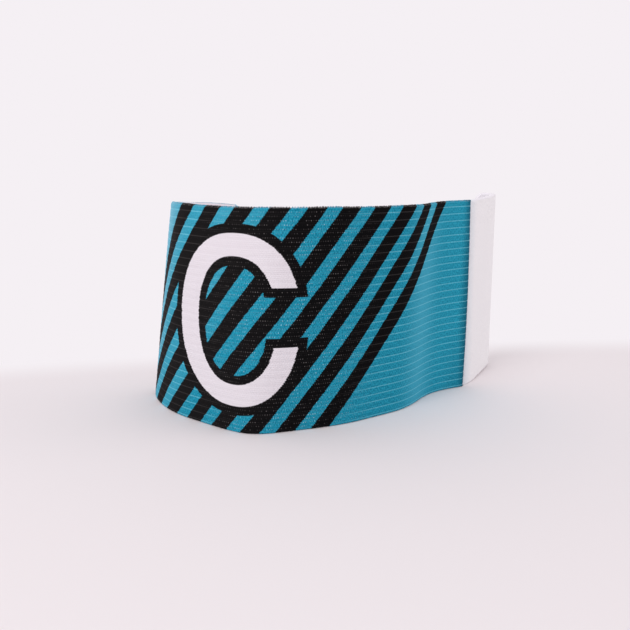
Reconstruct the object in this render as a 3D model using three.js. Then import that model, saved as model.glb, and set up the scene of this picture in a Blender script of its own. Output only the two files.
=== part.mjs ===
// A captain's armband, unfastened, standing by itself on its lower edge.
// Millimetres, +Z up. +X runs to the right along the printed face and +Y runs away
// from someone who looks at that face. The origin is under the middle of the band's
// box, on the surface that it stands on.
import * as THREE from 'three';

// Elastic band: its cut size and its wall.
const BAND_WIDTH = 65;      // selvage to selvage
const BAND_LENGTH = 174;    // sewn end to cut end, along the cloth
const BAND_WALL = 1.4;      // ribbed elastic, printed face to white back

// Closure tab: soft white hook-and-loop cloth, sewn behind the band's right end.
const TAB_WIDTH = 65;
const TAB_FREE_LENGTH = 41; // from the band's end to the tab's free end
const TAB_OVERLAP = 10;     // hidden behind the band, under the stitches
const TAB_WALL = 1.8;
const TAB_CORNER = 4;       // radius of the two corners at the free end
const TAB_LIFT = 1.8;       // how far the curled free end rises off the table
const SEAM_GAP = 0.3;       // clearance between the band's back and the tab

// Fineness of the faceted cloth.
const STEP_ALONG = 2.2;     // length of a facet along the cloth
const ROWS_ACROSS = 6;      // facets from the lower edge to the upper
const NOSE_STEPS = 4;       // facets round a rounded end
const WALK_STEP = 0.25;     // step of the walk that lays out an edge

// How the band runs, seen from above. It starts at the sewn end, on the right, and
// runs left. A row gives the turn out of the face-on direction, in degrees, of the
// lower edge (foot) and of the upper edge (rim), at a share of the band's length.
// Above zero the band comes nearer as it runs left, and below zero it goes away.
const BAND_TURNS = [
  { at: 0.000, foot: 24, rim: 38 },     // sewn end
  { at: 0.051, foot: 32, rim: 41 },
  { at: 0.095, foot: 49, rim: 53 },
  { at: 0.138, foot: 58, rim: 60 },     // steepest part of the wave near the end
  { at: 0.184, foot: 49, rim: 56 },
  { at: 0.230, foot: 35, rim: 37 },
  { at: 0.288, foot: 34, rim: 33 },
  { at: 0.345, foot: 24, rim: 25 },
  { at: 0.402, foot: 18, rim: 22 },
  { at: 0.448, foot: 18, rim: 2 },
  { at: 0.488, foot: -3, rim: -22 },    // foremost bend
  { at: 0.529, foot: -30, rim: -24 },
  { at: 0.574, foot: -37, rim: -36 },
  { at: 0.633, foot: -39, rim: -42 },
  { at: 0.690, foot: -50, rim: -61 },
  { at: 0.747, foot: -61, rim: -76 },
  { at: 0.793, foot: -75, rim: -84 },
  { at: 0.833, foot: -125, rim: -150 }, // the turn back at the left
  { at: 0.874, foot: -195, rim: -215 },
  { at: 0.919, foot: -232, rim: -228 },
  { at: 1.000, foot: -240, rim: -238 }, // cut end
];

// How the free part of the tab runs, seen from above, from the band's end to the
// tab's free end: the direction of each edge in degrees from +X, at a share of the
// free length.
const TAB_TURNS = [
  { at: 0.00, foot: 8, rim: 22 },       // steps out flush with the band's face
  { at: 0.08, foot: 46, rim: 50 },
  { at: 0.21, foot: 60, rim: 60 },
  { at: 0.55, foot: 61, rim: 60 },
  { at: 0.73, foot: 66, rim: 66 },
  { at: 0.92, foot: 188, rim: 188 },    // curls back on itself
  { at: 1.00, foot: 198, rim: 198 },
];

const PRINT_TEAL = 0x1f8fae;
const SOFT_WHITE = 0xe4dfe3;

const radians = THREE.MathUtils.degToRad;

// A column of a table of turns at a share between rows, by a smooth curve that never
// overshoots the rows.
function turnAt(rows, column, share) {
  const last = rows.length - 1;
  const slope = (i) => (rows[i + 1][column] - rows[i][column]) / (rows[i + 1].at - rows[i].at);
  const tangent = (i) => {
    if (i === 0) return slope(0);
    if (i === last) return slope(last - 1);
    const before = slope(i - 1);
    const after = slope(i);
    return before * after <= 0 ? 0 : (2 * before * after) / (before + after);
  };
  let i = 0;
  while (i < last - 1 && share > rows[i + 1].at) i += 1;
  const span = rows[i + 1].at - rows[i].at;
  const t = THREE.MathUtils.clamp((share - rows[i].at) / span, 0, 1);
  const rise = t * t * (3 - 2 * t);
  return THREE.MathUtils.lerp(rows[i][column], rows[i + 1][column], rise)
    + span * t * (1 - t) * ((1 - t) * tangent(i) - t * tangent(i + 1));
}

// Walks one edge of a strip and gives back a function of the length along it: the
// place in plan and the unit vector that points to the strip's back.
function walkEdge({ start, rows, column, length, firstHeading, backTurn }) {
  const count = Math.ceil(length / WALK_STEP);
  const step = length / count;
  const heading = (s) => radians(firstHeading + turnAt(rows, column, s / length));
  const points = [start.clone()];
  for (let i = 0; i < count; i += 1) {
    const angle = heading((i + 0.5) * step);
    const next = points[i].clone();
    next.x += Math.cos(angle) * step;
    next.y += Math.sin(angle) * step;
    points.push(next);
  }
  return (s) => {
    const place = THREE.MathUtils.clamp(s / step, 0, count);
    const i = Math.min(Math.floor(place), count - 1);
    const angle = heading(s) + backTurn;
    return {
      point: points[i].clone().lerp(points[i + 1], place - i),
      back: new THREE.Vector2(Math.cos(angle), Math.sin(angle)),
    };
  };
}

// How far a rounded end of a given radius has drawn in, at a distance from that end.
function roundedInset(distance, radius) {
  const inside = Math.max(radius - distance, 0);
  return radius - Math.sqrt(radius * radius - inside * inside);
}

// Places along a strip: close together where an end is rounded, and even elsewhere.
function stations(length, startRadius, endRadius) {
  const places = [];
  for (let i = 0; i < NOSE_STEPS; i += 1) {
    places.push(startRadius * (1 - Math.cos((i / NOSE_STEPS) * Math.PI * 0.5)));
  }
  const straight = length - startRadius - endRadius;
  const count = Math.ceil(straight / STEP_ALONG);
  for (let i = 0; i <= count; i += 1) places.push(startRadius + (straight * i) / count);
  for (let i = 1; i <= NOSE_STEPS; i += 1) {
    places.push(length - endRadius + endRadius * Math.sin((i / NOSE_STEPS) * Math.PI * 0.5));
  }
  return places.filter((s, i) => i === 0 || s - places[i - 1] > 1e-6);
}

// One closed body between a printed face and a back, two equal grids of points.
function closedSheet(face, back) {
  const rows = face.length;
  const columns = face[0].length;
  const positions = [];
  for (const grid of [face, back]) {
    for (const row of grid) for (const p of row) positions.push(p.x, p.y, p.z);
  }
  const onFace = (i, j) => i * columns + j;
  const onBack = (i, j) => rows * columns + i * columns + j;
  const index = [];
  const quad = (a, b, c, d) => index.push(a, b, c, a, c, d);
  for (let i = 0; i < rows - 1; i += 1) {
    for (let j = 0; j < columns - 1; j += 1) {
      quad(onFace(i, j), onFace(i, j + 1), onFace(i + 1, j + 1), onFace(i + 1, j));
      quad(onBack(i, j), onBack(i + 1, j), onBack(i + 1, j + 1), onBack(i, j + 1));
    }
    const top = columns - 1;
    quad(onFace(i, 0), onFace(i + 1, 0), onBack(i + 1, 0), onBack(i, 0));
    quad(onFace(i, top), onBack(i, top), onBack(i + 1, top), onFace(i + 1, top));
  }
  for (let j = 0; j < columns - 1; j += 1) {
    const end = rows - 1;
    quad(onFace(0, j), onBack(0, j), onBack(0, j + 1), onFace(0, j + 1));
    quad(onFace(end, j), onFace(end, j + 1), onBack(end, j + 1), onBack(end, j));
  }
  const geometry = new THREE.BufferGeometry();
  geometry.setAttribute('position', new THREE.Float32BufferAttribute(positions, 3));
  geometry.setIndex(index);
  geometry.computeVertexNormals();
  return geometry;
}

// A strip of cloth that stands on edge between a foot line and a rim line. Where the
// rim leans away from the foot the strip keeps its width, so its upper edge drops.
function standingStrip({ footAt, rimAt, places, width, wall, faceInset, cornerInset, lift }) {
  const face = [];
  const back = [];
  for (const s of places) {
    const foot = footAt(s);
    const rim = rimAt(s);
    const height = Math.sqrt(width * width - foot.point.distanceToSquared(rim.point));
    const inset = faceInset(s);
    const trim = cornerInset(s) / width;
    const faceRow = [];
    const backRow = [];
    for (let j = 0; j <= ROWS_ACROSS; j += 1) {
      const share = trim + (1 - 2 * trim) * (j / ROWS_ACROSS);
      const point = foot.point.clone().lerp(rim.point, share);
      const normal = foot.back.clone().lerp(rim.back, share).normalize();
      const z = share * height + lift(s);
      const place = (depth) => new THREE.Vector3(
        point.x + normal.x * depth, point.y + normal.y * depth, z,
      );
      faceRow.push(place(inset));
      backRow.push(place(wall - inset));
    }
    face.push(faceRow);
    back.push(backRow);
  }
  return { face, back };
}

// The elastic band. Its sewn end is rounded over, and its other end is cut square.
function bandEdge(column) {
  return walkEdge({
    start: new THREE.Vector2(0, 0),
    rows: BAND_TURNS,
    column,
    length: BAND_LENGTH,
    firstHeading: 180,
    backTurn: -Math.PI / 2,
  });
}

const NOSE_RADIUS = BAND_WALL * 0.45; // leaves a narrow flat on the rounded end
const bandFoot = bandEdge('foot');
const bandRim = bandEdge('rim');

function elasticBand() {
  const grids = standingStrip({
    footAt: bandFoot,
    rimAt: bandRim,
    places: stations(BAND_LENGTH, NOSE_RADIUS, 0),
    width: BAND_WIDTH,
    wall: BAND_WALL,
    faceInset: (s) => roundedInset(s, NOSE_RADIUS),
    cornerInset: () => 0,
    lift: () => 0,
  });
  return closedSheet(grids.face, grids.back);
}

// The closure tab. Its hidden part follows the band's back, and its free part steps
// out past the band's end, recedes and curls back. Its length starts at the hidden
// end, so it runs the other way from the band's.
const TAB_LENGTH = TAB_OVERLAP + TAB_FREE_LENGTH;

function tabEdge(bandLine, column) {
  const setBack = BAND_WALL + SEAM_GAP;
  const end = bandLine(0);
  const free = walkEdge({
    start: end.point.clone().addScaledVector(end.back, setBack),
    rows: TAB_TURNS,
    column,
    length: TAB_FREE_LENGTH,
    firstHeading: 0,
    backTurn: Math.PI / 2,
  });
  return (s) => {
    if (s >= TAB_OVERLAP) return free(s - TAB_OVERLAP);
    const line = bandLine(TAB_OVERLAP - s);
    return { point: line.point.clone().addScaledVector(line.back, setBack), back: line.back };
  };
}

function closureTab() {
  const freeShare = (s) => Math.max(s - TAB_OVERLAP, 0) / TAB_FREE_LENGTH;
  const grids = standingStrip({
    footAt: tabEdge(bandFoot, 'foot'),
    rimAt: tabEdge(bandRim, 'rim'),
    places: stations(TAB_LENGTH, 0, TAB_CORNER),
    width: TAB_WIDTH,
    wall: TAB_WALL,
    faceInset: () => 0,
    cornerInset: (s) => roundedInset(TAB_LENGTH - s, TAB_CORNER),
    lift: (s) => TAB_LIFT * freeShare(s) ** 1.5,
  });
  // The tab runs the other way, so its two faces change places to stay outward.
  return closedSheet(grids.back, grids.face);
}

function clothMesh(name, geometry, color, roughness) {
  const material = new THREE.MeshStandardMaterial({ color, roughness, metalness: 0 });
  const mesh = new THREE.Mesh(geometry, material);
  mesh.name = name;
  return mesh;
}

const armband = new THREE.Group();
armband.add(
  clothMesh('elastic_band', elasticBand(), PRINT_TEAL, 0.75),
  clothMesh('closure_tab', closureTab(), SOFT_WHITE, 0.95),
);

// Puts the middle of the armband's box over the origin and its lower edge at z = 0.
const box = new THREE.Box3().setFromObject(armband);
const middle = box.getCenter(new THREE.Vector3());
for (const piece of armband.children) piece.position.set(-middle.x, -middle.y, -box.min.z);

export default armband;
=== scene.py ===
import math
import random

import bmesh
import bpy
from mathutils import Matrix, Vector, noise


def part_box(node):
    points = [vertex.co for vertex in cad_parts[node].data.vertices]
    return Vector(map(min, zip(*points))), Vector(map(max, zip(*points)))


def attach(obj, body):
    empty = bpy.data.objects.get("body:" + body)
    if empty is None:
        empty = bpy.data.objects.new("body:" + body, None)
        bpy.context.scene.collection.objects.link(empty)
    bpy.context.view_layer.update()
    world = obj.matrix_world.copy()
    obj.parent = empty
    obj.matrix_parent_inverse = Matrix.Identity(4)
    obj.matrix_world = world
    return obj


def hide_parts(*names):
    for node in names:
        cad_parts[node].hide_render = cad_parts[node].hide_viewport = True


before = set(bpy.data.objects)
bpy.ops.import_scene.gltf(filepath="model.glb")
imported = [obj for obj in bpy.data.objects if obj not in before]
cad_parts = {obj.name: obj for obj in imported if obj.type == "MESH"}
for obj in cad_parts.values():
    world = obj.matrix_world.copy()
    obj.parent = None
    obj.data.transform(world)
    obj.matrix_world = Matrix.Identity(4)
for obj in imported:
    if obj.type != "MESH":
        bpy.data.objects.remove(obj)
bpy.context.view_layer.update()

# Camera
# A little above the armband's upper edge, looking slightly down at the foremost bend.
MM = 0.001
VIEW_PLACE = (-6.6 * MM, -221.8 * MM, 74.3 * MM)
VIEW_DIP = 11.92           # degrees below the level
VIEW_LENS = 38.86          # millimetres, as is the image's width
VIEW_IMAGE = 36
VIEW_NEAREST = 0.005       # metres

camera = bpy.data.objects.new("camera", bpy.data.cameras.new("camera"))
bpy.context.collection.objects.link(camera)
camera.data.lens = VIEW_LENS
camera.data.sensor_width = VIEW_IMAGE
camera.data.clip_start = VIEW_NEAREST
camera.location = VIEW_PLACE
camera.rotation_euler = (math.radians(90 - VIEW_DIP), 0, 0)
bpy.context.scene.camera = camera
bpy.context.scene.view_settings.view_transform = "Standard"

# Table and light
# A plain pale table top that runs out into a bright surround close behind the armband,
# under large soft lamps. It is matt, and only there to stand on.
TABLE_HALF = 3.0
TABLE_TINT = (0.83, 0.786, 0.795, 1)
SURROUND_TINT = (0.913, 0.871, 0.904, 1)
FADE_FROM, FADE_TO = 0.036, 0.066  # metres behind the middle of the armband
FADE_SLANT, FADE_BOW = -0.168, 0.4  # how the line where it fades leans, and bends
ROOM_LIGHT = 0.81          # of the surround's brightness, as light on the armband
LAMPS = (                  # name, place, size in metres, power in watts
    ("lamp_left", (-0.60, -0.80, 0.35), 0.6, 2.3),
    ("lamp_near", (-0.30, -0.40, 0.60), 0.3, 0.95),
    ("lamp_over", (0.0, -0.05, 0.90), 0.6, 0.6),
    ("lamp_right", (0.85, 0.05, 0.30), 0.6, 1.0),
)
LAMP_AIM = (0, 0, 0.03)    # the middle of the armband


def node_maths(tree, operation, *values, clamp=False):
    """A Math node. Each value is a number or another node's output."""
    node = tree.nodes.new("ShaderNodeMath")
    node.operation = operation
    node.use_clamp = clamp
    for socket, value in zip(node.inputs, values):
        if isinstance(value, bpy.types.NodeSocket):
            tree.links.new(value, socket)
        else:
            socket.default_value = value
    return node.outputs[0]


def node_step(tree, value, low, high):
    """0 below low, 1 above high, and a smooth rise between them."""
    node = tree.nodes.new("ShaderNodeMapRange")
    node.interpolation_type = "SMOOTHSTEP"
    node.inputs["From Min"].default_value = low
    node.inputs["From Max"].default_value = high
    tree.links.new(value, node.inputs["Value"])
    return node.outputs["Result"]


def new_finish(name):
    """A material with its Principled shader, as (material, its tree, the shader)."""
    material = bpy.data.materials.new(name)
    material.use_nodes = True
    tree = material.node_tree
    return material, tree, tree.nodes["Principled BSDF"]


def finished_object(name, mesh_builder, material):
    """Makes the bmesh into an object at the origin, with its material."""
    mesh = bpy.data.meshes.new(name)
    mesh_builder.to_mesh(mesh)
    mesh_builder.free()
    mesh.materials.append(material)
    piece = bpy.data.objects.new(name, mesh)
    bpy.context.collection.objects.link(piece)
    return piece


table_finish, tree, shader = new_finish("pale_table")
shader.inputs["Base Color"].default_value = TABLE_TINT
shader.inputs["Roughness"].default_value = 0.85
shader.inputs["Specular IOR Level"].default_value = 0.15
surround = tree.nodes.new("ShaderNodeEmission")
surround.inputs["Color"].default_value = SURROUND_TINT
place = tree.nodes.new("ShaderNodeSeparateXYZ")
tree.links.new(tree.nodes.new("ShaderNodeTexCoord").outputs["Object"], place.inputs[0])
slant = node_maths(tree, "MULTIPLY_ADD", place.outputs[0], FADE_SLANT, place.outputs[1])
bow = node_maths(tree, "MULTIPLY", place.outputs[0], place.outputs[0])
reach = node_maths(tree, "MULTIPLY_ADD", bow, FADE_BOW, slant)
fade = node_step(tree, reach, FADE_FROM, FADE_TO)
mixed = tree.nodes.new("ShaderNodeMixShader")
tree.links.new(fade, mixed.inputs[0])
tree.links.new(shader.outputs[0], mixed.inputs[1])
tree.links.new(surround.outputs[0], mixed.inputs[2])
tree.links.new(mixed.outputs[0], tree.nodes["Material Output"].inputs["Surface"])

table_mesh = bmesh.new()
bmesh.ops.create_grid(table_mesh, x_segments=2, y_segments=2, size=TABLE_HALF)
table_top = finished_object("table_top", table_mesh, table_finish)

world = bpy.data.worlds.new("soft_room")
world.use_nodes = True
room = world.node_tree
room.nodes["Background"].inputs["Color"].default_value = SURROUND_TINT
straight = room.nodes.new("ShaderNodeLightPath").outputs["Is Camera Ray"]
room_light = node_maths(room, "MULTIPLY_ADD", straight, 1 - ROOM_LIGHT, ROOM_LIGHT)
room.links.new(room_light, room.nodes["Background"].inputs["Strength"])
bpy.context.scene.world = world

for lamp_name, lamp_place, lamp_size, lamp_power in LAMPS:
    lamp = bpy.data.objects.new(lamp_name, bpy.data.lights.new(lamp_name, "AREA"))
    bpy.context.collection.objects.link(lamp)
    lamp.data.shape = "DISK"
    lamp.data.size = lamp_size
    lamp.data.energy = lamp_power
    lamp.location = lamp_place
    aim = Vector(LAMP_AIM) - lamp.location
    lamp.rotation_euler = aim.to_track_quat("-Z", "Y").to_euler()

# Ribbed elastic band
# Woven elastic, 65 mm wide, printed on its face and white on its back. It is cut to
# length, stands on its lower selvage, bends forward in a soft wave, and turns back on
# itself at the left. Its ribs run along it, with a bare white groove between them.
BAND_WIDTH = 65.0
BAND_LENGTH = 174.0
BAND_WALL = 1.4
NOSE_RADIUS = BAND_WALL * 0.45
WALK_STEP = 0.25
RIBS = 27                  # whole ribs, between the two selvages
RIB_PITCH = 2.31
FIRST_GROOVE = 0.77        # from the lower edge
GROOVE_DEPTH = 0.08
SELVAGE_RADIUS = 0.35
STEP_ALONG = 1.0
BOX_STEP = 0.5             # for finding the box of the walked band
SELVAGE_TRIM = 0.15        # the slab stops short of the selvage, inside the weft loops
UNEVEN = 0.05              # how far the two faces wander
UNEVEN_SCALE = (0.12, 0.25)
BACK_GROOVE = 0.7          # depth of the back's grooves, as a share of the face's

# Share of the length, then the turn of the lower edge and of the upper edge out of
# the face-on direction, in degrees. Above zero the band comes nearer, running left.
BAND_TURNS = [
    (0.000, 24, 38), (0.051, 32, 41), (0.095, 49, 53), (0.138, 58, 60),
    (0.184, 49, 56), (0.230, 35, 37), (0.288, 34, 33), (0.345, 24, 25),
    (0.402, 18, 22), (0.448, 18, 2), (0.488, -3, -22), (0.529, -30, -24),
    (0.574, -37, -36), (0.633, -39, -42), (0.690, -50, -61), (0.747, -61, -76),
    (0.793, -75, -84), (0.833, -125, -150), (0.874, -195, -215), (0.919, -232, -228),
    (1.000, -240, -238),
]
# Small settling: along from the sewn end, then how far down, or to the right.
RIM_DROP = [(0, 0.1), (14, 0.1), (30, 0.35), (40, 0.22), (54, 0.22), (66, -0.08), (78, -0.1),
            (90, 0.1), (104, 0.0), (116, -0.3), (130, -0.3), (140, 0.0), (BAND_LENGTH, 0.0)]
BEND_DRAW = [(0, 0.0), (118, 0.0), (134, 0.35), (150, 0.35), (160, 0.0), (BAND_LENGTH, 0.0)]
DRAW_LOW, DRAW_MORE = 0.7, 1.5  # of BEND_DRAW: at the lower edge, and more at the upper
SEWN_BOW = (0.4, 0.6)      # the sewn end's spare cloth, and more of it half way up
SEWN_BOW_REACH = 6.0
# Across one rib: share of its pitch, and height above the groove.
RIB_SECTION = [(0.0, 0.0), (0.09, 0.55), (0.24, 0.95), (0.5, 1.0), (0.76, 0.95), (0.91, 0.55)]


def curve_at(rows, column, share):
    """A column of a table, by a smooth curve that never overshoots."""
    last = len(rows) - 1

    def slope(i):
        return (rows[i + 1][column] - rows[i][column]) / (rows[i + 1][0] - rows[i][0])

    def tangent(i):
        if i in (0, last):
            return slope(0 if i == 0 else last - 1)
        before, after = slope(i - 1), slope(i)
        return 0 if before * after <= 0 else 2 * before * after / (before + after)

    i = 0
    while i < last - 1 and share > rows[i + 1][0]:
        i += 1
    span = rows[i + 1][0] - rows[i][0]
    t = min(max((share - rows[i][0]) / span, 0), 1)
    rise = t * t * (3 - 2 * t)
    base = rows[i][column] + (rows[i + 1][column] - rows[i][column]) * rise
    return base + span * t * (1 - t) * ((1 - t) * tangent(i) - t * tangent(i + 1))


def walk_edge(start, rows, column, length, first_heading, back_turn):
    """One edge of a strip: length along it to (place in plan, direction of its back).
    Past both ends it runs straight on."""
    count = math.ceil(length / WALK_STEP)
    step = length / count

    def heading(s):
        return math.radians(first_heading + curve_at(rows, column, s / length))

    places = [Vector(start)]
    for i in range(count):
        angle = heading((i + 0.5) * step)
        places.append(places[-1] + Vector((math.cos(angle), math.sin(angle))) * step)

    def at(s):
        place = s / step
        i = min(max(int(place), 0), count - 1)
        angle = heading(s) + back_turn
        return places[i].lerp(places[i + 1], place - i), Vector((math.cos(angle), math.sin(angle)))

    return at


def remembered(function):
    """The same function, which keeps what it has worked out."""
    known = {}

    def look_up(s):
        key = round(s, 5)
        if key not in known:
            known[key] = function(s)
        return known[key]

    return look_up


def stood_up(foot_at, rim_at, width, lift):
    """Takes flat cloth (along, across, depth) to where it stands, in millimetres."""
    def place(s, t, depth):
        (foot, foot_back), (rim, rim_back) = foot_at(s), rim_at(s)
        share = t / width
        height = math.sqrt(width * width - (rim - foot).length_squared)
        point = foot.lerp(rim, share)
        back = foot_back.lerp(rim_back, share).normalized()
        point = point + back * depth
        return Vector((point.x, point.y, share * height + lift(s)))
    return place


def rounded_inset(distance, radius):
    """How far a rounded end has drawn in, at a distance from that end."""
    inside = min(max(radius - distance, 0), radius)
    return radius - math.sqrt(radius * radius - inside * inside)


band_foot = remembered(walk_edge((0, 0), BAND_TURNS, 1, BAND_LENGTH, 180, -math.pi / 2))
band_rim = remembered(walk_edge((0, 0), BAND_TURNS, 2, BAND_LENGTH, 180, -math.pi / 2))
band_place = stood_up(band_foot, band_rim, BAND_WIDTH, lambda s: 0)

# The walk starts at the sewn end. Its place in the frame follows from the node's box.
band_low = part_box("elastic_band")[0]
walked = [band_place(i * BOX_STEP, t, d) for i in range(int(BAND_LENGTH / BOX_STEP) + 1)
          for t in (0, BAND_WIDTH) for d in (0, BAND_WALL)]
SEWN_END = Vector((
    band_low.x / MM - min(p.x for p in walked),
    band_low.y / MM - min(p.y for p in walked),
    0,
))


def node_fall(tree, value, low, high):
    """1 below low, 0 above high, and a smooth fall between them."""
    return node_maths(tree, "SUBTRACT", 1.0, node_step(tree, value, low, high))


def node_distance(tree, value, middle):
    """How far a value lies from a middle, on either side."""
    return node_maths(tree, "ABSOLUTE", node_maths(tree, "SUBTRACT", value, middle))


def node_blend(tree, share, first, second):
    """A colour that goes from first to second. Each is a colour or an output."""
    node = tree.nodes.new("ShaderNodeMix")
    node.data_type = "RGBA"
    for name, value in (("Factor_Float", share), ("A_Color", first), ("B_Color", second)):
        socket = next(s for s in node.inputs if s.identifier == name)
        if isinstance(value, bpy.types.NodeSocket):
            tree.links.new(value, socket)
        else:
            socket.default_value = value
    return next(s for s in node.outputs if s.identifier == "Result_Color")


def shade_smooth(mesh_builder):
    for face in mesh_builder.faces:
        face.smooth = True


def cloth_slab(name, along, across, columns, rows, wall, skin, place, material):
    """A slab of cloth, cut flat and then stood up. along and across turn a share into
    millimetres, and skin gives (face depth, back depth) at a flat place. Each point
    keeps its flat place in the attribute cloth, for the pattern that follows it."""
    slab = bmesh.new()
    bmesh.ops.create_grid(slab, x_segments=columns, y_segments=rows, size=0.5)
    for vertex in slab.verts:
        i = round((vertex.co.x + 0.5) * columns)
        j = round((vertex.co.y + 0.5) * rows)
        vertex.co = (along(i / columns), across(j / rows), 0)
    grown = bmesh.ops.extrude_face_region(slab, geom=slab.faces[:])
    raised = [g for g in grown["geom"] if isinstance(g, bmesh.types.BMVert)]
    bmesh.ops.translate(slab, verts=raised, vec=(0, 0, wall))
    flat_place = slab.verts.layers.float_vector.new("cloth")
    for vertex in slab.verts:
        s, t, level = vertex.co
        face_depth, back_depth = skin(s, t)
        vertex[flat_place] = (s, t, level)
        vertex.co = place(s, t, back_depth if level > wall / 2 else face_depth) * MM
    bmesh.ops.recalc_face_normals(slab, faces=slab.faces[:])
    shade_smooth(slab)
    return finished_object(name, slab, material)


def rib_height(t):
    """0 in a groove, 1 on top of a rib."""
    share = ((t - FIRST_GROOVE) / RIB_PITCH) % 1.0
    section = RIB_SECTION + [(1.0, 0.0)]
    for (a, low), (b, high) in zip(section, section[1:]):
        if share <= b:
            return low + (high - low) * (share - a) / (b - a)
    return 0.0


# Places across the band: along each rib's section, and close together at the selvages.
LAST_GROOVE = FIRST_GROOVE + RIBS * RIB_PITCH
RIB_ROWS = [SELVAGE_TRIM, 0.22, 0.32, 0.47, 0.62]
RIB_ROWS += [FIRST_GROOVE + (rib + share) * RIB_PITCH for rib in range(RIBS) for share, _ in RIB_SECTION]
RIB_ROWS += [LAST_GROOVE, LAST_GROOVE + 0.2, LAST_GROOVE + 0.55]
RIB_ROWS += [BAND_WIDTH - d for d in (0.75, 0.5, 0.34, 0.24, 0.17)]


def rib_rows(share):
    return RIB_ROWS[round(share * (len(RIB_ROWS) - 1))]


def band_skin(s, t):
    """Depths of the face and of the back of the elastic, from its face plane."""
    inset = rounded_inset(s, NOSE_RADIUS)
    inset += rounded_inset(min(t, BAND_WIDTH - t) - SELVAGE_TRIM, SELVAGE_RADIUS)
    groove = GROOVE_DEPTH * (1 - rib_height(t))
    uneven = UNEVEN * noise.noise(Vector((s * UNEVEN_SCALE[0], t * UNEVEN_SCALE[1], 3.1)))
    return inset + groove + uneven, BAND_WALL - inset - groove * BACK_GROOVE + uneven


def band_along(share):
    return share * BAND_LENGTH


rim_drop = remembered(lambda s: curve_at(RIM_DROP, 1, s))
bend_draw = remembered(lambda s: curve_at(BEND_DRAW, 1, s))


def band_in_frame(s, t, depth):
    """The cloth as it stands. Its sewn end bows out a little in the middle, and its
    upper edge has settled where nothing holds it."""
    bow = SEWN_BOW[0] + SEWN_BOW[1] * math.sin(math.pi * t / BAND_WIDTH)
    point = SEWN_END + band_place(s - bow * max(1 - s / SEWN_BOW_REACH, 0), t, depth)
    point.z -= rim_drop(s) * (t / BAND_WIDTH) ** 2
    point.x += bend_draw(s) * (DRAW_LOW + DRAW_MORE * (t / BAND_WIDTH) ** 6)
    return point


# Print, in millimetres of the flat cloth: along from the sewn end, across from the
# lower edge. Ten slanting stripes, and over them a letter with an outline.
STRIPES = 10
STRIPE_START = 62.6        # right side of the first stripe, at the lower edge
STRIPE_PITCH = 10.72
STRIPE_WIDTH = 6.0
STRIPE_LEAN = 0.776        # along for each millimetre across
STRIPES_END = STRIPES - 0.2  # in pitches from the first
STRIPES_SOFT = 0.02        # in pitches, at both ends of the row
PRINT_SOFT = 0.1           # half the width over which an edge of the print fades
LETTER_ACROSS = 32.9
# The letter's two rounded forms: middle along, half height, and then the half width and
# the squareness of their left and of their right side.
LETTER_OUTER = (92.6, 24.98, (21.43, 2.15), (19.65, 2.305))
LETTER_INNER = (92.9, 18.56, (13.45, 2.19), (13.12, 2.33))
LETTER_SLANT = 0.018
LETTER_OUTLINE = 2.7
LETTER_GAP = (25.85, 43.0)  # the two cut ends of its stroke
GAP_SOFT = 0.08
TEAL_DARK, TEAL_LIGHT = (0.003, 0.164, 0.257, 1), (0.026, 0.352, 0.502, 1)
# Paler teal for the painted sheen, in the wave and towards the fold.
TEAL_SHEEN = (0.071, 0.412, 0.565, 1)
BLACK = (0.0030, 0.0028, 0.0032, 1)
WHITE = (0.737, 0.697, 0.738, 1)
# Teal under the painted sheen at the fold, and where the print cracks at the cut end.
TEAL_SHEEN_AND_CRACKS = (0.39, 0.70, 0.85, 1)
GROUND_IN_TEAL = (0.46, 0.66, 0.74, 1)
LINE_IN_TEAL = (0.30, 0.78, 0.90, 1)
# Bare ground on the black, also used for its painted sheen.
GROUND_AND_SHEEN_IN_BLACK = (0.52, 0.48, 0.47, 1)
GROOVE_IN_LETTER = (0.66, 0.60, 0.66, 1)
GROOVE_IN_BACK = (0.60, 0.56, 0.59, 1)
YARN_PITCH = 0.8
WEFT_PITCH = RIB_PITCH / 4
SPECK_PITCH = 0.7
SPECK_RADIUS = (0.07, 0.22)
SPECK_CHANCE = (-0.05, 0.9)
STRETCHED = (77.0, 13.0, 33.0)  # middle of the stretched bend, and where it ends
FOLD_STRETCH = (1.1, 0.45)  # of the print, at the lower and at the upper edge
FOLD_STRETCH_ALONG, FOLD_STRETCH_UP = (108.0, 128.0), (10.0, 55.0)
RIM_STRETCH = 0.8
RIM_STRETCH_ALONG, RIM_STRETCH_UP = (45.0, 85.0), (15.0, 60.0)
WEFT_STRAY = (0.16, -0.18)  # how far a weft row takes the print along: spread, and least
YARN_STRAY = 0.25
WAVER_SCALE, WAVER = 0.55, 0.4
# Where painted sheen lightens the print on the way to the fold, where the cloth turns away, with the white
# ground showing through where
# the print is thinned there: first a little, then more. From, to, and how much sooner for each millimetre up
# the cloth.
FIRST_SHEEN_SIDE = (94.0, 110.0, 0.5)
SECOND_SHEEN_SIDE = (118.0, 146.0, 0.3)
FIRST_SHEEN, SHEEN_AND_CRACKS = 0.45, 0.64
FOLD_FADE = (150.0, 166.0)  # where both end, beyond the fold
FOLD_MIDDLE = 32.0         # across
HOLLOW_SHEEN = (25.5, 13.5, 0.6)  # middle, half length and strength of the painted sheen in the wave's hollow, where it turns away, with some white ground showing through
NEAR_SEAM = (18.0, 45.0, 0.2)  # lighter tone: from the seam to here, fading to there
DITCH = (4.6, 0.85)        # painted shade along the seam, in the ditch where the tab meets the band: its reach and its strength
LOW_END = (12.0, 30.0, 0.35)  # painted shade at its lower end: reach along and up, and strength
# The colour of the painted seam shade.
DITCH_SHADE = (0.002, 0.075, 0.125, 1)
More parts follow.
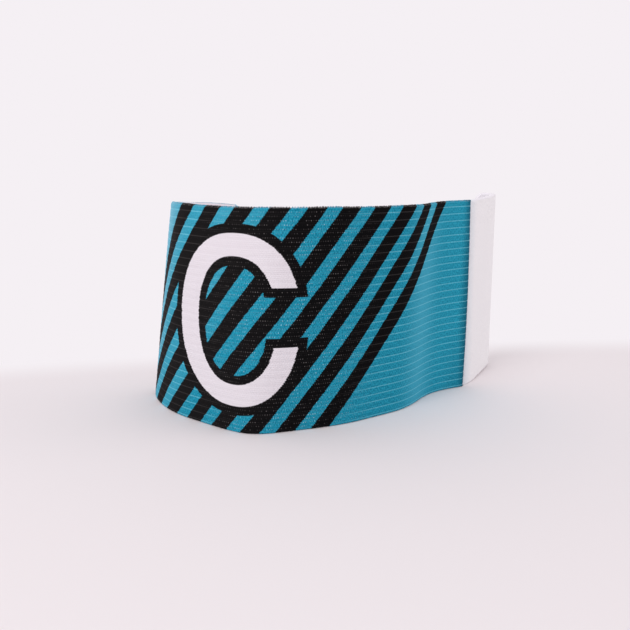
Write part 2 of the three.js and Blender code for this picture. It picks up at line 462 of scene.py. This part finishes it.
# Bare ground: as a line in each groove and as specks, on the teal and on the black.
GROOVE_BARE = (0.03, 0.20)  # from the middle of a groove
LINE_BARE, LINE_LOST = 0.26, 0.22  # of the line's strength, and less where stretched
# The groove line is weaker under the painted fold sheen and where the print cracks.
LINE_BROKEN, LINE_SHEEN_AND_CRACKS = 0.5, 0.45
LINE_ON_TEAL, LINE_ON_BLACK = 1.5, 0.2
SPECKS_ON_TEAL, SPECKS_ON_BLACK = 0.9, 0.27
SPECKS_PATCHY = 0.75
# Painted sheen on the black: with the fold sheen and cut-end cracks, and a faint one that rises along the
# cloth.
SHEEN_AND_CRACKS_ON_BLACK, SHEEN_ON_BLACK = 0.035, 0.011
SHEEN_ALONG = (60.0, 118.0)
PATCH_SCALE, FINE_SCALE = 0.35, 2.2
EVEN_RANGE = (0.35, 0.65)  # of a mottle: what counts as none of it, and as all
SPECKS_RANGE, BROKEN_RANGE, SELVAGE_RANGE = (0.30, 0.58), (0.3, 0.7), (0.4, 0.7)
CUT_END = (3.0, 0.5)       # from the cut end: where the print starts to crack, and is cracked
HIGH_SELVAGE = (0.5, 0.2, 0.25)  # from the upper edge: where it goes bare, and how much
GROOVE_ON_LETTER, GROOVE_ON_BACK = 0.12, 0.6
BACK_FROM, BACK_FULL = 0.45 * BAND_WALL, 0.75 * BAND_WALL
NOSE_PRINTED = (0.2, 1.2)  # along: the rounded end keeps its print all round, and with it the painted seam shade
# The teal's tone: shares of two kinds of mottle and of the yarn's height, less a little.
TONE_STRAND, TONE_GRAIN, TONE_YARN, TONE_LESS = 0.3, 0.6, 0.4, 0.12
STRAND_FINER, GRAIN_FINER = 2.6, 1.7  # along the cloth than across

# Yarns of the weave, seen close: rows of small cells, each a raised yarn, with a speck
# of the ground in the middle of it.
yarns = bpy.data.node_groups.new("yarn_cells", "ShaderNodeTree")
for socket_name, socket_kind, way in (
    ("Along", "NodeSocketFloat", "INPUT"), ("Across", "NodeSocketFloat", "INPUT"),
    ("Pitch Along", "NodeSocketFloat", "INPUT"), ("Pitch Across", "NodeSocketFloat", "INPUT"),
    ("Height", "NodeSocketFloat", "OUTPUT"), ("Speck", "NodeSocketFloat", "OUTPUT"),
):
    yarns.interface.new_socket(socket_name, in_out=way, socket_type=socket_kind)
come_in = yarns.nodes.new("NodeGroupInput")
go_out = yarns.nodes.new("NodeGroupOutput")
yarn = node_maths(yarns, "DIVIDE", come_in.outputs["Along"], come_in.outputs["Pitch Along"])
row = node_maths(yarns, "DIVIDE", come_in.outputs["Across"], come_in.outputs["Pitch Across"])
odd_row = node_maths(yarns, "MODULO", node_maths(yarns, "FLOOR", row), 2.0)
yarn = node_maths(yarns, "MULTIPLY_ADD", odd_row, 0.5, yarn)
cell = yarns.nodes.new("ShaderNodeCombineXYZ")
yarns.links.new(node_maths(yarns, "FLOOR", yarn), cell.inputs[0])
yarns.links.new(node_maths(yarns, "FLOOR", row), cell.inputs[1])
chance = yarns.nodes.new("ShaderNodeTexWhiteNoise")
chance.noise_dimensions = "2D"
yarns.links.new(cell.outputs[0], chance.inputs["Vector"])
cell_x = node_distance(yarns, node_maths(yarns, "FRACT", yarn), 0.5)
cell_y = node_distance(yarns, node_maths(yarns, "FRACT", row), 0.5)
bulge_x = node_maths(yarns, "COSINE", node_maths(yarns, "MULTIPLY", cell_x, math.pi))
bulge_y = node_maths(yarns, "COSINE", node_maths(yarns, "MULTIPLY", cell_y, math.pi))
yarns.links.new(node_maths(yarns, "MULTIPLY", bulge_x, bulge_y), go_out.inputs["Height"])
speck_x = node_maths(yarns, "MULTIPLY", cell_x, come_in.outputs["Pitch Along"])
speck_y = node_maths(yarns, "MULTIPLY", cell_y, come_in.outputs["Pitch Across"])
speck = node_maths(yarns, "SQRT", node_maths(
    yarns, "ADD", node_maths(yarns, "POWER", speck_x, 2.0), node_maths(yarns, "POWER", speck_y, 2.0)))
speck = node_fall(yarns, speck, *SPECK_RADIUS)
speck = node_maths(yarns, "MULTIPLY", speck, node_step(yarns, chance.outputs["Value"], *SPECK_CHANCE))
yarns.links.new(speck, go_out.inputs["Speck"])


def yarn_cells(tree, along, across, pitch_along, pitch_across):
    """Places the yarn cells in a material. Gives (height, speck)."""
    node = tree.nodes.new("ShaderNodeGroup")
    node.node_tree = yarns
    tree.links.new(along, node.inputs["Along"])
    tree.links.new(across, node.inputs["Across"])
    node.inputs["Pitch Along"].default_value = pitch_along
    node.inputs["Pitch Across"].default_value = pitch_across
    return node.outputs["Height"], node.outputs["Speck"]


def mottle(tree, along, across, scale, detail=3.0):
    """Uneven 0 to 1, that follows the flat cloth."""
    joined = tree.nodes.new("ShaderNodeCombineXYZ")
    tree.links.new(along, joined.inputs[0])
    tree.links.new(across, joined.inputs[1])
    node = tree.nodes.new("ShaderNodeTexNoise")
    node.inputs["Scale"].default_value = scale
    node.inputs["Detail"].default_value = detail
    tree.links.new(joined.outputs[0], node.inputs["Vector"])
    return node.outputs["Fac"]


def flat_coordinates(tree):
    """The flat place of a point: (along, across, depth), in millimetres."""
    attribute = tree.nodes.new("ShaderNodeAttribute")
    attribute.attribute_name = "cloth"
    split = tree.nodes.new("ShaderNodeSeparateXYZ")
    tree.links.new(attribute.outputs["Vector"], split.inputs[0])
    return split.outputs


elastic_finish, tree, shader = new_finish("printed_elastic")
along, across, depth = flat_coordinates(tree)
from_first = node_maths(tree, "SUBTRACT", across, FIRST_GROOVE)
yarn_height = yarn_cells(tree, along, from_first, YARN_PITCH, WEFT_PITCH)[0]
specks = yarn_cells(tree, along, from_first, SPECK_PITCH, WEFT_PITCH * 2)[1]
# Each weft row takes the print a little to one side, and each raised yarn breaks it, so
# its edges are finely toothed.
weft = node_maths(tree, "FLOOR", node_maths(tree, "DIVIDE", across, WEFT_PITCH))
stray = tree.nodes.new("ShaderNodeTexWhiteNoise")
stray.noise_dimensions = "1D"
tree.links.new(weft, stray.inputs["W"])
shift = node_maths(tree, "MULTIPLY_ADD", stray.outputs["Value"], *WEFT_STRAY)
shift = node_maths(tree, "MULTIPLY_ADD", yarn_height, YARN_STRAY, shift)
waver = mottle(tree, along, across, WAVER_SCALE)
waver = node_maths(tree, "MULTIPLY_ADD", waver, WAVER, -WAVER / 2)
printed = node_maths(tree, "ADD", node_maths(tree, "ADD", along, shift), waver)
# The cloth is drawn out round the fold, and along its upper edge towards the sewn end.
drawn = node_maths(tree, "MULTIPLY_ADD", node_step(tree, across, *FOLD_STRETCH_UP),
                   FOLD_STRETCH[1] - FOLD_STRETCH[0], FOLD_STRETCH[0])
drawn = node_maths(tree, "MULTIPLY", drawn, node_step(tree, along, *FOLD_STRETCH_ALONG))
printed = node_maths(tree, "SUBTRACT", printed, drawn)
drawn = node_fall(tree, along, *RIM_STRETCH_ALONG)
drawn = node_maths(tree, "MULTIPLY", drawn, node_step(tree, across, *RIM_STRETCH_UP))
printed = node_maths(tree, "MULTIPLY_ADD", drawn, -RIM_STRETCH, printed)

run = node_maths(tree, "MULTIPLY_ADD", across, STRIPE_LEAN, printed)
run = node_maths(tree, "DIVIDE", node_maths(tree, "SUBTRACT", run, STRIPE_START), STRIPE_PITCH)
from_middle = node_distance(tree, node_maths(tree, "FRACT", run), STRIPE_WIDTH / STRIPE_PITCH / 2)
in_stripe = node_fall(tree, from_middle, (STRIPE_WIDTH / 2 - PRINT_SOFT) / STRIPE_PITCH,
                      (STRIPE_WIDTH / 2 + PRINT_SOFT) / STRIPE_PITCH)
started = node_step(tree, run, -STRIPES_SOFT, 0.0)
ended = node_step(tree, run, STRIPES_END, STRIPES_END + STRIPES_SOFT)
in_stripe = node_maths(tree, "MULTIPLY", in_stripe, node_maths(tree, "SUBTRACT", started, ended))

letter_y = node_maths(tree, "SUBTRACT", across, LETTER_ACROSS)
letter_x = node_maths(tree, "MULTIPLY_ADD", letter_y, -LETTER_SLANT, printed)


def round_form(form, grown):
    """1 inside a rounded form of the letter, grown by so many millimetres."""
    middle, half_y, (left_x, left_power), (right_x, right_power) = form
    x = node_maths(tree, "SUBTRACT", letter_x, middle)
    left = node_maths(tree, "GREATER_THAN", x, 0.0)  # the cloth runs to the left
    half_x = node_maths(tree, "MULTIPLY_ADD", left, left_x - right_x, right_x + grown)
    power = node_maths(tree, "MULTIPLY_ADD", left, left_power - right_power, right_power)
    x = node_maths(tree, "POWER", node_maths(tree, "DIVIDE", node_maths(tree, "ABSOLUTE", x), half_x), power)
    y = node_maths(tree, "DIVIDE", node_maths(tree, "ABSOLUTE", letter_y), half_y + grown)
    size = node_maths(tree, "ADD", x, node_maths(tree, "POWER", y, power))
    soft = PRINT_SOFT * left_power / left_x
    return node_fall(tree, size, 1 - soft, 1 + soft)


def letter_stroke(grown):
    """1 on the letter's stroke, grown on all sides by so many millimetres."""
    outer = round_form(LETTER_OUTER, grown)
    inner = round_form(LETTER_INNER, -grown)
    low, high = LETTER_GAP[0] + grown, LETTER_GAP[1] - grown
    past_low = node_step(tree, across, low - GAP_SOFT, low + GAP_SOFT)
    past_high = node_step(tree, across, high - GAP_SOFT, high + GAP_SOFT)
    right = node_maths(tree, "SUBTRACT", LETTER_OUTER[0], letter_x)
    right = node_step(tree, right, -PRINT_SOFT, PRINT_SOFT)
    gap = node_maths(tree, "MULTIPLY", right, node_maths(tree, "SUBTRACT", past_low, past_high))
    ring = node_maths(tree, "SUBTRACT", outer, inner, clamp=True)
    return node_maths(tree, "SUBTRACT", ring, gap, clamp=True)


black_print = node_maths(tree, "MAXIMUM", in_stripe, letter_stroke(LETTER_OUTLINE))
white_print = letter_stroke(0.0)

# The ground shows white in the grooves and between the yarns, most at the foremost
# bend, where the elastic is stretched.
ribs_up = node_maths(tree, "DIVIDE", node_maths(tree, "SUBTRACT", across, FIRST_GROOVE), RIB_PITCH)
rib_place = node_maths(tree, "FRACT", ribs_up)
from_top = node_distance(tree, rib_place, 0.5)
from_groove = node_maths(tree, "MULTIPLY", node_maths(tree, "SUBTRACT", 0.5, from_top), RIB_PITCH)
groove = node_fall(tree, from_groove, *GROOVE_BARE)
stretch = node_fall(tree, node_distance(tree, along, STRETCHED[0]), STRETCHED[1], STRETCHED[2])
patchy = node_step(tree, mottle(tree, along, across, PATCH_SCALE), *EVEN_RANGE)
fine = mottle(tree, along, across, FINE_SCALE, 2.0)
uneven = node_step(tree, fine, *SPECKS_RANGE)
dots = node_maths(tree, "MULTIPLY", node_maths(tree, "MULTIPLY", specks, uneven), stretch)
patchy = node_maths(tree, "MULTIPLY_ADD", patchy, SPECKS_PATCHY, 1 - SPECKS_PATCHY)
dots = node_maths(tree, "MULTIPLY", dots, patchy)
line = node_maths(tree, "MULTIPLY", groove, node_maths(tree, "MULTIPLY_ADD", stretch, -LINE_LOST, LINE_BARE))
broken = node_step(tree, fine, *BROKEN_RANGE)
broken = node_maths(tree, "MULTIPLY_ADD", broken, LINE_BROKEN, 1 - LINE_BROKEN / 2)
line = node_maths(tree, "MULTIPLY", line, broken)


def towards_fold(side_from, side_to, sooner):
    """Rises from 0 to 1 on the way to the fold, and falls again beyond it."""
    reach = node_maths(tree, "SUBTRACT", across, FOLD_MIDDLE)
    reach = node_maths(tree, "MULTIPLY_ADD", reach, sooner, along)
    return node_maths(tree, "SUBTRACT", node_step(tree, reach, side_from, side_to),
                      node_step(tree, along, *FOLD_FADE), clamp=True)


# Painted sheen towards the fold, where the cloth turns away; the second stage also takes in the cracked
# print at the cut end.
first_sheen = towards_fold(*FIRST_SHEEN_SIDE)
sheen_and_cracks = towards_fold(*SECOND_SHEEN_SIDE)
cut_end = node_step(tree, along, BAND_LENGTH - CUT_END[0], BAND_LENGTH - CUT_END[1])
sheen_and_cracks = node_maths(tree, "MAXIMUM", sheen_and_cracks, cut_end)
line = node_maths(tree, "MULTIPLY", line, node_maths(tree, "MULTIPLY_ADD", sheen_and_cracks, -LINE_SHEEN_AND_CRACKS, 1.0))
# Painted sheen on the black as well, fainter.
black_sheen = node_step(tree, along, *SHEEN_ALONG)
bare_and_sheen_on_black = node_maths(tree, "MAXIMUM", node_maths(tree, "MULTIPLY", line, LINE_ON_BLACK),
                           node_maths(tree, "MULTIPLY", dots, SPECKS_ON_BLACK))
bare_and_sheen_on_black = node_maths(tree, "MULTIPLY_ADD", sheen_and_cracks, SHEEN_AND_CRACKS_ON_BLACK, bare_and_sheen_on_black)
bare_and_sheen_on_black = node_maths(tree, "MULTIPLY_ADD", black_sheen, SHEEN_ON_BLACK, bare_and_sheen_on_black)

# The teal is uneven from yarn to yarn. Painted sheen makes it pale where the wave turns away in its hollow,
# with some white ground showing through where it is stretched, and painted shade makes it deeper at the sewn
# end, in the ditch where the tab meets the band.
strand = mottle(tree, node_maths(tree, "MULTIPLY", along, STRAND_FINER), across, 1.4, 4.0)
grain = mottle(tree, node_maths(tree, "MULTIPLY", along, GRAIN_FINER), across, 1.5, 1.0)
tone = node_maths(tree, "ADD", node_maths(tree, "MULTIPLY", strand, TONE_STRAND),
                  node_maths(tree, "MULTIPLY", node_step(tree, grain, *EVEN_RANGE), TONE_GRAIN))
tone = node_maths(tree, "SUBTRACT", tone, TONE_LESS)
tone = node_maths(tree, "MULTIPLY_ADD", yarn_height, TONE_YARN, tone)
near_seam = node_fall(tree, along, NEAR_SEAM[0], NEAR_SEAM[1])
tone = node_maths(tree, "MULTIPLY_ADD", near_seam, NEAR_SEAM[2], tone)
teal = node_blend(tree, tone, TEAL_DARK, TEAL_LIGHT)
# Painted sheen: paler teal in the wave's hollow, where the cloth turns away.
hollow_sheen = node_fall(tree, node_distance(tree, along, HOLLOW_SHEEN[0]), 0.0, HOLLOW_SHEEN[1])
teal = node_blend(tree, node_maths(tree, "MULTIPLY", hollow_sheen, HOLLOW_SHEEN[2]), teal, TEAL_SHEEN)
# Painted shade: darker teal along the seam, and at its lower end near the floor.
low_end_shade = node_maths(tree, "MULTIPLY", node_fall(tree, along, 0.0, LOW_END[0]),
                     node_fall(tree, across, 0.0, LOW_END[1]))
seam_shade = node_maths(tree, "MULTIPLY", node_fall(tree, along, 0.0, DITCH[0]), DITCH[1])
seam_shade = node_maths(tree, "MAXIMUM", seam_shade, node_maths(tree, "MULTIPLY", low_end_shade, LOW_END[2]))
teal = node_blend(tree, seam_shade, teal, DITCH_SHADE)
teal = node_blend(tree, node_maths(tree, "MULTIPLY", first_sheen, FIRST_SHEEN), teal, TEAL_SHEEN)
teal = node_blend(tree, node_maths(tree, "MULTIPLY", sheen_and_cracks, SHEEN_AND_CRACKS), teal, TEAL_SHEEN_AND_CRACKS)
colour = node_blend(tree, node_maths(tree, "MULTIPLY", line, LINE_ON_TEAL), teal, LINE_IN_TEAL)
colour = node_blend(tree, node_maths(tree, "MULTIPLY", dots, SPECKS_ON_TEAL), colour, GROUND_IN_TEAL)
black = node_blend(tree, bare_and_sheen_on_black, BLACK, GROUND_AND_SHEEN_IN_BLACK)
colour = node_blend(tree, black_print, colour, black)
letter_groove = node_maths(tree, "MULTIPLY", groove, GROOVE_ON_LETTER)
letter_white = node_blend(tree, letter_groove, WHITE, GROOVE_IN_LETTER)
colour = node_blend(tree, white_print, colour, letter_white)
high_selvage = node_step(tree, across, BAND_WIDTH - HIGH_SELVAGE[0], BAND_WIDTH - HIGH_SELVAGE[1])
high_selvage = node_maths(tree, "MULTIPLY", high_selvage, node_step(tree, fine, *SELVAGE_RANGE))
high_selvage = node_maths(tree, "MULTIPLY", high_selvage, HIGH_SELVAGE[2])
colour = node_blend(tree, high_selvage, colour, GROUND_AND_SHEEN_IN_BLACK)

# Only the face is printed. The back is white, and so is the half of each edge next to it.
back_share = node_step(tree, depth, BACK_FROM, BACK_FULL)
back_share = node_maths(tree, "MULTIPLY", back_share, node_step(tree, along, *NOSE_PRINTED))
back_white = node_blend(tree, node_maths(tree, "MULTIPLY", groove, GROOVE_ON_BACK), WHITE, GROOVE_IN_BACK)
colour = node_blend(tree, back_share, colour, back_white)
tree.links.new(colour, shader.inputs["Base Color"])
tree.links.new(node_maths(tree, "MULTIPLY_ADD", strand, 0.2, 0.62), shader.inputs["Roughness"])
shader.inputs["Specular IOR Level"].default_value = 0.04
bump = tree.nodes.new("ShaderNodeBump")
bump.inputs["Distance"].default_value = 0.08 * MM
bump.inputs["Strength"].default_value = 0.8
tree.links.new(yarn_height, bump.inputs["Height"])
tree.links.new(bump.outputs[0], shader.inputs["Normal"])

ribbed_elastic = cloth_slab(
    "ribbed_elastic", band_along, rib_rows, round(BAND_LENGTH / STEP_ALONG),
    len(RIB_ROWS) - 1, BAND_WALL, band_skin, band_in_frame, elastic_finish,
)
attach(ribbed_elastic, "root")
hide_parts("elastic_band")

# The weft turns back at each selvage in a small loop, and where the elastic was cut its
# yarns stick out.
LOOP_PITCH = 0.8
LOOP_SIZE = (0.60, 0.80, 1.1)  # along, across and through the cloth
LOOP_STRAY = (0.08, 0.1)   # to either side along, and up
HIGH_LOOPS = 0.22          # from the upper edge to the middle of its loops
CUT_YARNS, CUT_YARN_WIDTH, CUT_YARN_SLANT = 90, 0.24, 0.3
CUT_YARN_LENGTH = (0.5, 1.8)
CUT_YARN_OUT = 0.3         # share of its length that its middle lies past the cut


def add_oval(mesh_builder, flat_place, size, middle, place, fineness=1, slant=0.0):
    """Adds a small oval body of thread, at a place on the flat cloth."""
    oval = bmesh.ops.create_icosphere(mesh_builder, subdivisions=fineness, radius=0.5)["verts"]
    bmesh.ops.scale(mesh_builder, verts=oval, vec=size)
    for vertex in oval:
        flat = middle + Vector((vertex.co.x, vertex.co.y + slant * vertex.co.x, vertex.co.z))
        vertex[flat_place] = (min(flat.x, BAND_LENGTH), flat.y, flat.z)
        vertex.co = place(*flat) * MM


selvage_mesh = bmesh.new()
loop_place = selvage_mesh.verts.layers.float_vector.new("cloth")
draw = random.Random(7)
for middle_across in (LOOP_SIZE[1] / 2, BAND_WIDTH - HIGH_LOOPS):
    for i in range(int(BAND_LENGTH / LOOP_PITCH)):
        middle = Vector(((i + 0.5) * LOOP_PITCH + draw.uniform(-LOOP_STRAY[0], LOOP_STRAY[0]),
                         middle_across + draw.uniform(0, LOOP_STRAY[1]), BAND_WALL / 2))
        add_oval(selvage_mesh, loop_place, LOOP_SIZE, middle, band_in_frame)
for i in range(CUT_YARNS):
    length = draw.uniform(*CUT_YARN_LENGTH)
    middle = Vector((BAND_LENGTH + length * CUT_YARN_OUT, draw.uniform(0.5, BAND_WIDTH - 0.5),
                     draw.uniform(0.3, 1.1)))
    slant = draw.uniform(-CUT_YARN_SLANT, CUT_YARN_SLANT)
    thread = (length, CUT_YARN_WIDTH, CUT_YARN_WIDTH)
    add_oval(selvage_mesh, loop_place, thread, middle, band_in_frame, slant=slant)
shade_smooth(selvage_mesh)
selvage_loops = finished_object("selvage_loops", selvage_mesh, elastic_finish)
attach(selvage_loops, "root")

# Soft closure tab
# Brushed loop cloth, sewn behind the elastic's right end. It steps out flush with the
# printed face, runs away from the viewer, and its free end curls back on itself.
TAB_WIDTH = 65.0
TAB_FREE_LENGTH = 41.0
TAB_OVERLAP = 10.0
TAB_LENGTH = TAB_OVERLAP + TAB_FREE_LENGTH
TAB_WALL = 1.8
TAB_CORNER = 4.0
TAB_LIFT = 1.8
SEAM_GAP = 0.3
TAB_STEP = 0.45
TAB_CROWDING = 0.6         # how much closer its rows are at its edges
LOW_CORNER = TAB_CORNER * 1.6  # the lower corner has a larger radius
TAB_ROUNDING = TAB_WALL * 0.42
TAB_FOOT = 0.4             # its lower edge, where it stands, rounds over by this much less
TAB_LIFT_POWER = 1.5
PILE, FINE_PILE, PILE_SCALE, FINE_PILE_SCALE = 0.10, 0.05, 0.9, 2.3
PILE_SINK = 0.06           # keeps the pile inside the wall
NAP_DARK, NAP_LIGHT = (0.865, 0.85, 0.86, 1), (0.935, 0.92, 0.93, 1)
BESIDE_SEAM = (TAB_OVERLAP + 0.5, TAB_OVERLAP + 7.5)
SEAM_BOUNCE_FACE, SEAM_BOUNCE_BACK = 0.55, 0.05
CURL_FROM = (TAB_LENGTH - 8, TAB_LENGTH - 5)
UPPER_RIM_ALONG = (TAB_OVERLAP + 2, TAB_OVERLAP + 6)
UPPER_RIM_ACROSS = (TAB_WIDTH - 0.9, TAB_WIDTH - 0.3)
CURL_SHADE_SHARE = 0.3
SEAM_BOUNCE_SHADE = (0.62, 0.70, 0.76, 1)  # painted shade and painted teal reflection on the tab beside the seam
CURL_SHADE = (0.74, 0.68, 0.80, 1)  # painted shade, lilac, inside the curled end and along the upper rim

# Share of the free length, then the direction of the lower and of the upper edge.
TAB_TURNS = [
    (0.00, 8, 22), (0.08, 46, 50), (0.21, 60, 60), (0.55, 61, 60),
    (0.72, 66, 66), (0.89, 188, 188), (1.00, 203, 203),
]


def tab_edge(band_line, column):
    """An edge of the tab: behind the band first, and then on its own way."""
    set_back = BAND_WALL + SEAM_GAP
    end, end_back = band_line(0)
    free = walk_edge(end + end_back * set_back, TAB_TURNS, column, TAB_FREE_LENGTH, 0, math.pi / 2)

    def at(s):
        if s >= TAB_OVERLAP:
            return free(s - TAB_OVERLAP)
        place, back = band_line(TAB_OVERLAP - s)
        return place + back * set_back, back

    return at


def tab_lift(s):
    return TAB_LIFT * (max(s - TAB_OVERLAP, 0) / TAB_FREE_LENGTH) ** TAB_LIFT_POWER


tab_place = stood_up(
    remembered(tab_edge(band_foot, 1)), remembered(tab_edge(band_rim, 2)), TAB_WIDTH, tab_lift)


def tab_in_frame(s, t, depth):
    """The tab's corners at its free end are rounded, and its edges draw in with them."""
    below = rounded_inset(TAB_LENGTH - s, LOW_CORNER)
    above = rounded_inset(TAB_LENGTH - s, TAB_CORNER)
    t = below + (TAB_WIDTH - above - below) * t / TAB_WIDTH
    return SEWN_END + tab_place(s, t, depth)


def tab_skin(s, t):
    """Depths of the two soft faces. Both round over at the tab's edges."""
    inset = rounded_inset(min(s, TAB_LENGTH - s, t + TAB_FOOT, TAB_WIDTH - t), TAB_ROUNDING)
    pile = PILE * noise.noise(Vector((s * PILE_SCALE, t * PILE_SCALE, 0.0)))
    pile += FINE_PILE * noise.noise(Vector((s * FINE_PILE_SCALE, t * FINE_PILE_SCALE, 5.0)))
    other = PILE * noise.noise(Vector((s * PILE_SCALE, t * PILE_SCALE, 9.0)))
    return inset + PILE_SINK + pile, TAB_WALL - inset - PILE_SINK + other


def eased(share):
    """Closer together towards both ends."""
    return share - TAB_CROWDING * math.sin(2 * math.pi * share) / (2 * math.pi)


tab_finish, tree, shader = new_finish("loop_cloth")
along, across, depth = flat_coordinates(tree)
nap = mottle(tree, along, across, 1.6, 5.0)
curl = mottle(tree, along, across, 5.0, 4.0)
colour = node_blend(tree, nap, NAP_DARK, NAP_LIGHT)
on_back = node_step(tree, depth, 0.5 * TAB_WALL, 0.8 * TAB_WALL)
# Painted shade and reflected teal light on the tab beside the seam, mostly on its face.
seam_bounce_share = node_maths(tree, "MULTIPLY_ADD", on_back, SEAM_BOUNCE_BACK - SEAM_BOUNCE_FACE, SEAM_BOUNCE_FACE)
seam_bounce = node_maths(tree, "MULTIPLY", node_fall(tree, along, *BESIDE_SEAM), seam_bounce_share)
colour = node_blend(tree, seam_bounce, colour, SEAM_BOUNCE_SHADE)
# Painted shade inside the curled end and along the upper rim.
curl_shade = node_maths(tree, "MULTIPLY", node_step(tree, along, *CURL_FROM), on_back)
upper_rim_shade = node_maths(tree, "MULTIPLY", node_step(tree, along, *UPPER_RIM_ALONG),
                       node_step(tree, across, *UPPER_RIM_ACROSS))
curl_shade = node_maths(tree, "MAXIMUM", curl_shade, upper_rim_shade)
curl_shade = node_maths(tree, "MULTIPLY", curl_shade, CURL_SHADE_SHARE)
colour = node_blend(tree, curl_shade, colour, CURL_SHADE)
tree.links.new(colour, shader.inputs["Base Color"])
tree.links.new(node_maths(tree, "MULTIPLY_ADD", nap, 0.15, 0.82), shader.inputs["Roughness"])
shader.inputs["Specular IOR Level"].default_value = 0.10
shader.inputs["Sheen Weight"].default_value = 0.15
shader.inputs["Sheen Roughness"].default_value = 0.6
bump = tree.nodes.new("ShaderNodeBump")
bump.inputs["Distance"].default_value = 0.2 * MM
bump.inputs["Strength"].default_value = 0.7
tree.links.new(node_maths(tree, "MULTIPLY_ADD", curl, 0.6, nap), bump.inputs["Height"])
tree.links.new(bump.outputs[0], shader.inputs["Normal"])

soft_tab = cloth_slab(
    "soft_tab", lambda share: share * TAB_LENGTH, lambda share: eased(share) * TAB_WIDTH,
    round(TAB_LENGTH / TAB_STEP), round(TAB_WIDTH / TAB_STEP), TAB_WALL, tab_skin, tab_in_frame,
    tab_finish,
)
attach(soft_tab, "root")
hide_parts("closure_tab")

# Two rows of stitches hold the tab to the elastic. They show on its back only.
STITCH_ROWS = (2.5, 7.5)   # from the tab's hidden end
STITCH_PITCH = 2.8
STITCH_SIZE = (0.45, 2.3, 0.4)
FIRST_STITCH = 1.1         # in pitches from the lower edge
seam_mesh = bmesh.new()
stitch_place = seam_mesh.verts.layers.float_vector.new("cloth")
for row_along in STITCH_ROWS:
    for i in range(int(TAB_WIDTH / STITCH_PITCH) - 1):
        middle = Vector((row_along, (i + FIRST_STITCH) * STITCH_PITCH, TAB_WALL))
        add_oval(seam_mesh, stitch_place, STITCH_SIZE, middle, tab_in_frame, fineness=2)
shade_smooth(seam_mesh)
seam_stitches = finished_object("seam_stitches", seam_mesh, tab_finish)
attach(seam_stitches, "root")
